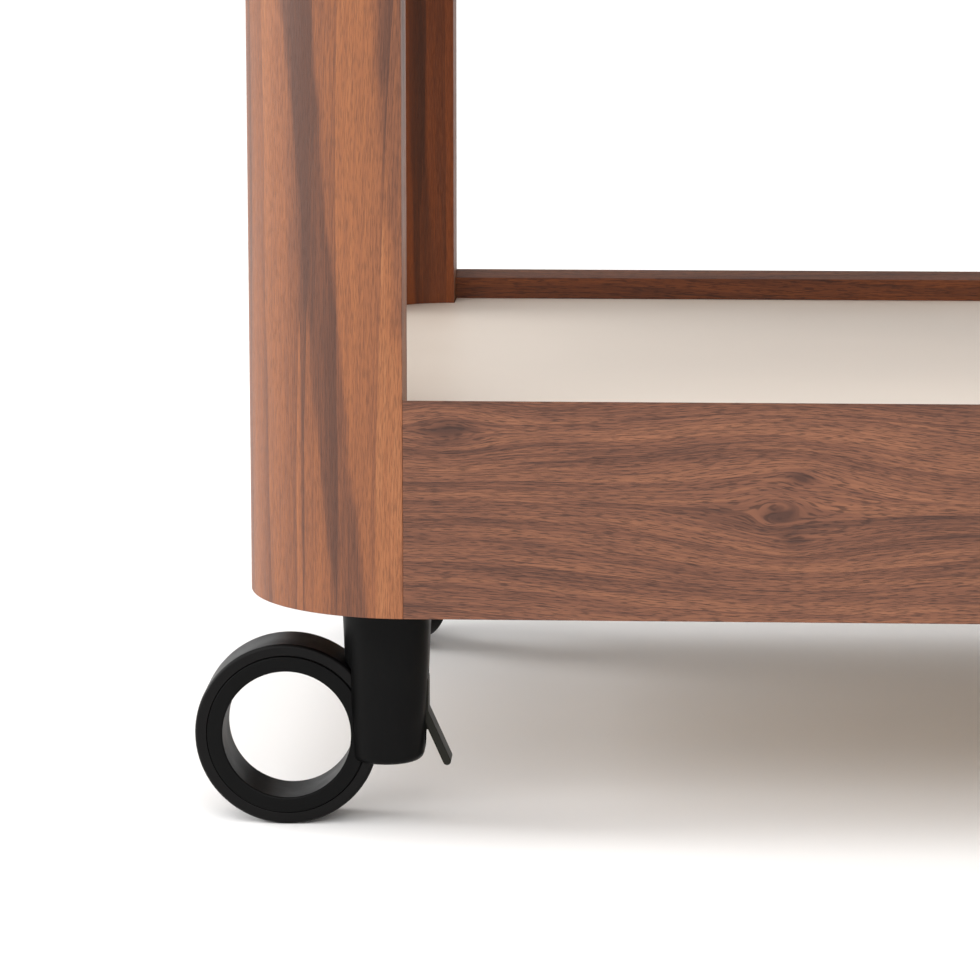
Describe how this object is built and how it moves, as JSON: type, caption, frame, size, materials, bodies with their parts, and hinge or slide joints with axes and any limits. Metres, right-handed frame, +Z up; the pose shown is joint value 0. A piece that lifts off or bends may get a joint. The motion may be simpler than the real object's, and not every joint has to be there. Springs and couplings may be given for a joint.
{
  "type": "rolling luggage rack",
  "caption": "Wooden luggage rack with quarter-round corner posts, a recessed lower tray, a slatted top deck and hubless swivel casters with foot brakes.",
  "frame": {"origin": "on the floor below the middle of the wooden frame", "axes": "+X along the rack's width, +Y from its front to its back, +Z up"},
  "size_m": [0.7438, 0.4377, 0.515],
  "materials": {
    "walnut": "satin oiled walnut veneer",
    "light_wood": "sanded beech",
    "cream_laminate": "satin laminate",
    "black_plastic": "fine moulded texture",
    "lever_plastic": "moulded, slightly worn",
    "black_tyre": "soft tread",
    "zinc_steel": "zinc plated",
    "spring_steel": "blued",
    "insert_brass": "machined",
    "white_nylon": "smooth"
  },
  "bodies": {
    "frame": {"post_front_left": "walnut", "post_front_right": "walnut", "post_back_left": "walnut", "post_back_right": "walnut", "lower_rail_front": "walnut", "lower_rail_back": "walnut", "lower_rail_left": "walnut", "lower_rail_right": "walnut", "upper_rail_front": "walnut", "upper_rail_back": "walnut", "upper_rail_left": "walnut", "upper_rail_right": "walnut", "tray_board": "light_wood", "tray_surface": "cream_laminate", "caster_block_front_left": "walnut", "caster_block_front_right": "walnut", "caster_block_back_left": "walnut", "caster_block_back_right": "walnut", "deck_bearer_left": "walnut", "deck_bearer_middle": "walnut", "deck_bearer_right": "walnut", "deck_slat_1": "walnut", "deck_slat_2": "walnut", "deck_slat_3": "walnut", "deck_slat_4": "walnut", "deck_slat_5": "walnut", "deck_slat_6": "walnut", "rail_dowels": "light_wood", "bearer_dowels": "light_wood", "slat_screws": "zinc_steel", "board_screws": "zinc_steel", "block_screws": "zinc_steel", "threaded_inserts": "insert_brass", "caster_spindles": "zinc_steel", "spindle_clips": "spring_steel"},
    "caster_front_left": {"housing_front_left": "black_plastic", "swivel_bush_front_left": "white_nylon", "wheel_ring_front_left": "black_plastic", "ring_pins_front_left": "zinc_steel", "brake_pin_left": "zinc_steel"},
    "wheel_front_left": {"tyre_front_left": "black_tyre"},
    "brake_left": {"brake_lever_left": "lever_plastic"},
    "caster_front_right": {"housing_front_right": "black_plastic", "swivel_bush_front_right": "white_nylon", "wheel_ring_front_right": "black_plastic", "ring_pins_front_right": "zinc_steel", "brake_pin_right": "zinc_steel"},
    "wheel_front_right": {"tyre_front_right": "black_tyre"},
    "brake_right": {"brake_lever_right": "lever_plastic"},
    "caster_back_left": {"housing_back_left": "black_plastic", "swivel_bush_back_left": "white_nylon", "wheel_ring_back_left": "black_plastic", "ring_pins_back_left": "zinc_steel"},
    "wheel_back_left": {"tyre_back_left": "black_tyre"},
    "caster_back_right": {"housing_back_right": "black_plastic", "swivel_bush_back_right": "white_nylon", "wheel_ring_back_right": "black_plastic", "ring_pins_back_right": "zinc_steel"},
    "wheel_back_right": {"tyre_back_right": "black_tyre"}
  },
  "joints": [
    {"name": "swivel_front_left", "type": "hinge", "parent": "frame", "child": "caster_front_left", "pos_m": [-0.294, -0.1541, 0.0775], "axis": [0, 0, 1], "continuous": true},
    {"name": "wheel_spin_front_left", "type": "hinge", "parent": "caster_front_left", "child": "wheel_front_left", "pos_m": [-0.3344, -0.1541, 0.0375], "axis": [0, 1, 0], "continuous": true},
    {"name": "brake_press_left", "type": "hinge", "parent": "caster_front_left", "child": "brake_left", "pos_m": [-0.2798, -0.1541, 0.0585], "axis": [0, 1, 0], "range_deg": [0, 8]},
    {"name": "swivel_front_right", "type": "hinge", "parent": "frame", "child": "caster_front_right", "pos_m": [0.294, -0.1541, 0.0775], "axis": [0, 0, 1], "continuous": true},
    {"name": "wheel_spin_front_right", "type": "hinge", "parent": "caster_front_right", "child": "wheel_front_right", "pos_m": [0.3344, -0.1541, 0.0375], "axis": [0, 1, 0], "continuous": true},
    {"name": "brake_press_right", "type": "hinge", "parent": "caster_front_right", "child": "brake_right", "pos_m": [0.2798, -0.1541, 0.0585], "axis": [0, -1, 0], "range_deg": [0, 8]},
    {"name": "swivel_back_left", "type": "hinge", "parent": "frame", "child": "caster_back_left", "pos_m": [-0.294, 0.1541, 0.0775], "axis": [0, 0, 1], "continuous": true},
    {"name": "wheel_spin_back_left", "type": "hinge", "parent": "caster_back_left", "child": "wheel_back_left", "pos_m": [-0.3142, 0.18909, 0.0375], "axis": [0.866, 0.5, 0], "continuous": true},
    {"name": "swivel_back_right", "type": "hinge", "parent": "frame", "child": "caster_back_right", "pos_m": [0.294, 0.1541, 0.0775], "axis": [0, 0, 1], "continuous": true},
    {"name": "wheel_spin_back_right", "type": "hinge", "parent": "caster_back_right", "child": "wheel_back_right", "pos_m": [0.3142, 0.18909, 0.0375], "axis": [-0.866, 0.5, 0], "continuous": true}
  ]
}
